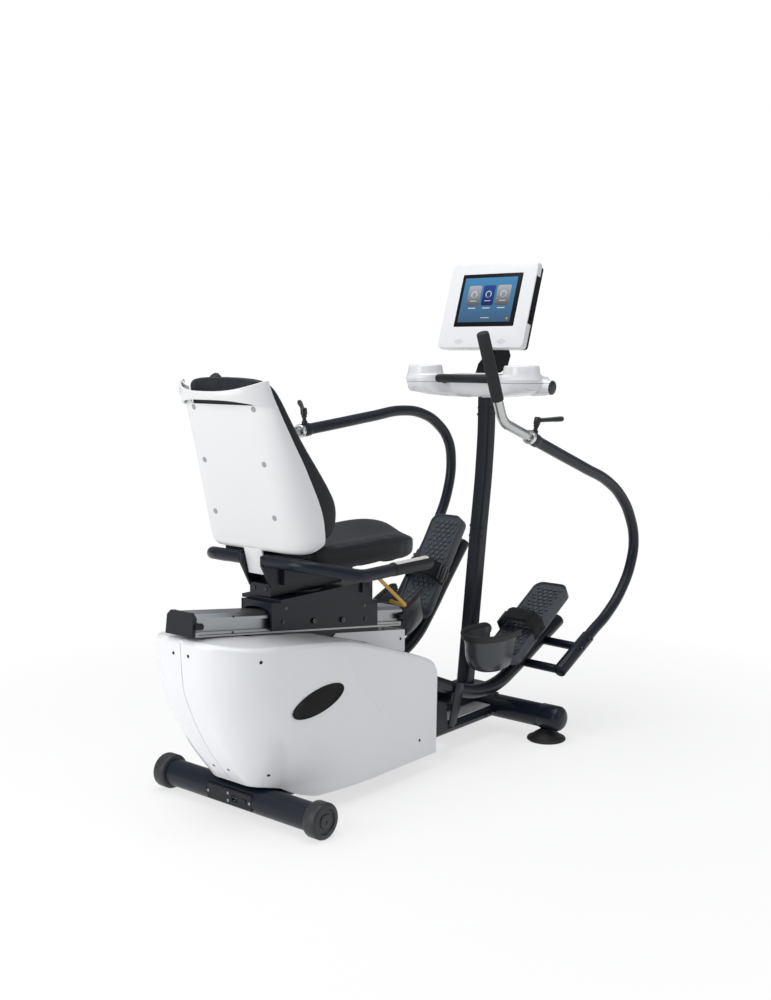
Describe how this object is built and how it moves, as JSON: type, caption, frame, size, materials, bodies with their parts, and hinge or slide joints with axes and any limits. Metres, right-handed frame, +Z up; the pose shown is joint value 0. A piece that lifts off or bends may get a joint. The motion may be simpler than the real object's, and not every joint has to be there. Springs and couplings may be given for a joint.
{
  "type": "semi-recumbent exercise machine",
  "caption": "Recumbent exercise machine with a sliding swivel seat, swinging foot levers joined to hand arms, a tray and a tilting touch console.",
  "frame": {"origin": "middle of the machine's bounding box, on the floor", "axes": "+X the way the seated rider faces, +Y the rider's left, +Z up"},
  "size_m": [1.927, 0.799, 1.6192],
  "materials": {
    "white": "gloss",
    "dark_paint": "satin",
    "black_plastic": "matte",
    "rubber": "matte",
    "aluminium": "satin",
    "silver": "satin",
    "steel": "satin",
    "upholstery": "satin",
    "grey_plastic": "gloss",
    "strap": "matte",
    "yellow": "satin",
    "screen_glass": "gloss"
  },
  "bodies": {
    "base": {"base_frame": "dark_paint", "step_plate": "silver", "rear_stabiliser": "dark_paint", "front_stabiliser": "dark_paint", "foot_pad_left": "rubber", "foot_pad_right": "rubber", "power_panel": "black_plastic", "power_inlet": "black_plastic", "seat_rail": "aluminium", "rail_end_cap_rear": "black_plastic", "rail_end_cap_front": "black_plastic", "rail_supports": "dark_paint", "drive_belt": "rubber", "shroud_left": "white", "shroud_right": "white", "rail_fairing": "white", "post_lower": "dark_paint", "post_upper": "dark_paint", "tray_lower": "white", "tray_upper": "white", "tray_grip_bar": "black_plastic", "monitor_bracket": "black_plastic"},
    "transport_wheel_left": {"transport_wheel_left": "rubber"},
    "transport_wheel_right": {"transport_wheel_right": "rubber"},
    "power_switch": {"power_switch": "black_plastic"},
    "lever_rocker": {"lever_rocker": "dark_paint"},
    "drive_pulley": {"drive_pulley": "steel"},
    "brake_disc": {"brake_disc": "steel"},
    "carriage": {"carriage": "dark_paint", "swivel_base": "dark_paint"},
    "carriage_wheelset_rear": {"carriage_wheelset_rear": "steel"},
    "carriage_wheelset_front": {"carriage_wheelset_front": "steel"},
    "seat_release_lever": {"seat_release_lever": "yellow"},
    "seat": {"seat_frame": "dark_paint", "seat_cushion": "upholstery", "back_shell": "white", "back_cushion": "upholstery"},
    "monitor": {"monitor_back": "black_plastic", "monitor_bezel": "white", "monitor_screen": "screen_glass"},
    "armrest_left": {"armrest_left": "dark_paint", "armrest_grip_left": "black_plastic"},
    "left_lever": {"foot_lever_left": "dark_paint", "foot_plate_left": "black_plastic", "heel_cup_left": "grey_plastic", "foot_strap_left": "strap", "arm_tube_left": "dark_paint"},
    "handle_left": {"handle_tube_left": "silver", "handle_grip_left": "rubber"},
    "clamp_lever_left": {"clamp_lever_left": "black_plastic"},
    "armrest_right": {"armrest_right": "dark_paint", "armrest_grip_right": "black_plastic"},
    "right_lever": {"foot_lever_right": "dark_paint", "foot_plate_right": "black_plastic", "heel_cup_right": "grey_plastic", "foot_strap_right": "strap", "arm_tube_right": "dark_paint"},
    "handle_right": {"handle_tube_right": "silver", "handle_grip_right": "rubber"},
    "clamp_lever_right": {"clamp_lever_right": "black_plastic"}
  },
  "joints": [
    {"name": "transport_wheel_left_turn", "type": "hinge", "parent": "base", "child": "transport_wheel_left", "pos_m": [-0.74137, 0.2883, 0.0515], "axis": [0, 1, 0], "continuous": true},
    {"name": "transport_wheel_right_turn", "type": "hinge", "parent": "base", "child": "transport_wheel_right", "pos_m": [-0.74137, -0.2883, 0.0515], "axis": [0, 1, 0], "continuous": true},
    {"name": "power_switch_rock", "type": "hinge", "parent": "base", "child": "power_switch", "pos_m": [-0.78017, -0.052, 0.0515], "axis": [0, 0, 1], "range_deg": [-5, 5]},
    {"name": "right_lever_swing", "type": "hinge", "parent": "base", "child": "right_lever", "pos_m": [0.02263, -0.17, 0.201], "axis": [0, 1, 0], "range_deg": [-29, 4]},
    {"name": "left_lever_swing", "type": "hinge", "parent": "base", "child": "left_lever", "pos_m": [0.02263, 0.17, 0.201], "axis": [0, 1, 0], "range_deg": [-4, 29]},
    {"name": "lever_rocker_turn", "type": "hinge", "parent": "base", "child": "lever_rocker", "pos_m": [-0.15337, 0, 0.326], "axis": [0, 0, 1], "range_deg": [-14.3, 2]},
    {"name": "drive_pulley_turn", "type": "hinge", "parent": "base", "child": "drive_pulley", "pos_m": [-0.39137, 0, 0.25], "axis": [0, 1, 0], "continuous": true},
    {"name": "brake_disc_turn", "type": "hinge", "parent": "base", "child": "brake_disc", "pos_m": [-0.69137, 0, 0.25], "axis": [0, 1, 0], "continuous": true},
    {"name": "carriage_slide", "type": "slide", "parent": "base", "child": "carriage", "axis": [0.9909, 0, -0.1347], "range_m": [-0.23, 0.06]},
    {"name": "carriage_wheelset_rear_turn", "type": "hinge", "parent": "carriage", "child": "carriage_wheelset_rear", "pos_m": [-0.61137, 0, 0.58202], "axis": [0, 1, 0], "continuous": true},
    {"name": "carriage_wheelset_front_turn", "type": "hinge", "parent": "carriage", "child": "carriage_wheelset_front", "pos_m": [-0.26637, 0, 0.53513], "axis": [0, 1, 0], "continuous": true},
    {"name": "seat_swivel", "type": "hinge", "parent": "carriage", "child": "seat", "pos_m": [-0.49137, 0, 0.615], "axis": [0, 0, 1], "range_deg": [-20, 20]},
    {"name": "seat_release_lift", "type": "hinge", "parent": "carriage", "child": "seat_release_lever", "pos_m": [-0.29137, -0.088, 0.64], "axis": [0, 1, 0], "range_deg": [-15, 0], "stiffness_Nm_per_rad": 2},
    {"name": "armrest_left_flip", "type": "hinge", "parent": "seat", "child": "armrest_left", "pos_m": [-0.67437, 0.0463, 0.728], "axis": [0, 1, 0], "range_deg": [-60, 0]},
    {"name": "armrest_right_flip", "type": "hinge", "parent": "seat", "child": "armrest_right", "pos_m": [-0.67437, -0.0463, 0.728], "axis": [0, 1, 0], "range_deg": [-60, 0]},
    {"name": "handle_right_slide", "type": "slide", "parent": "right_lever", "child": "handle_right", "axis": [-0.9406, 0, 0.3394], "range_m": [0, 0.06]},
    {"name": "handle_left_slide", "type": "slide", "parent": "left_lever", "child": "handle_left", "axis": [-0.9958, 0, -0.0916], "range_m": [0, 0.06]},
    {"name": "clamp_lever_right_turn", "type": "hinge", "parent": "right_lever", "child": "clamp_lever_right", "pos_m": [0.26872, -0.33, 1.06171], "axis": [0.3394, 0, 0.9406], "range_deg": [-60, 40]},
    {"name": "clamp_lever_left_turn", "type": "hinge", "parent": "left_lever", "child": "clamp_lever_left", "pos_m": [-0.11963, 0.33, 1.08483], "axis": [-0.0916, 0, 0.9958], "range_deg": [-40, 60]},
    {"name": "monitor_tilt", "type": "hinge", "parent": "base", "child": "monitor", "pos_m": [0.50218, 0, 1.3701], "axis": [0, 1, 0], "range_deg": [-10, 15]}
  ],
  "couplings": [
    {"joint": "left_lever_swing", "follows": "right_lever_swing", "ratio": -1},
    {"joint": "lever_rocker_turn", "follows": "right_lever_swing", "ratio": 0.46},
    {"joint": "brake_disc_turn", "follows": "drive_pulley_turn", "ratio": 3},
    {"joint": "carriage_wheelset_rear_turn", "follows": "carriage_slide", "rad_per_m": 105.26},
    {"joint": "carriage_wheelset_front_turn", "follows": "carriage_slide", "rad_per_m": 105.26}
  ]
}
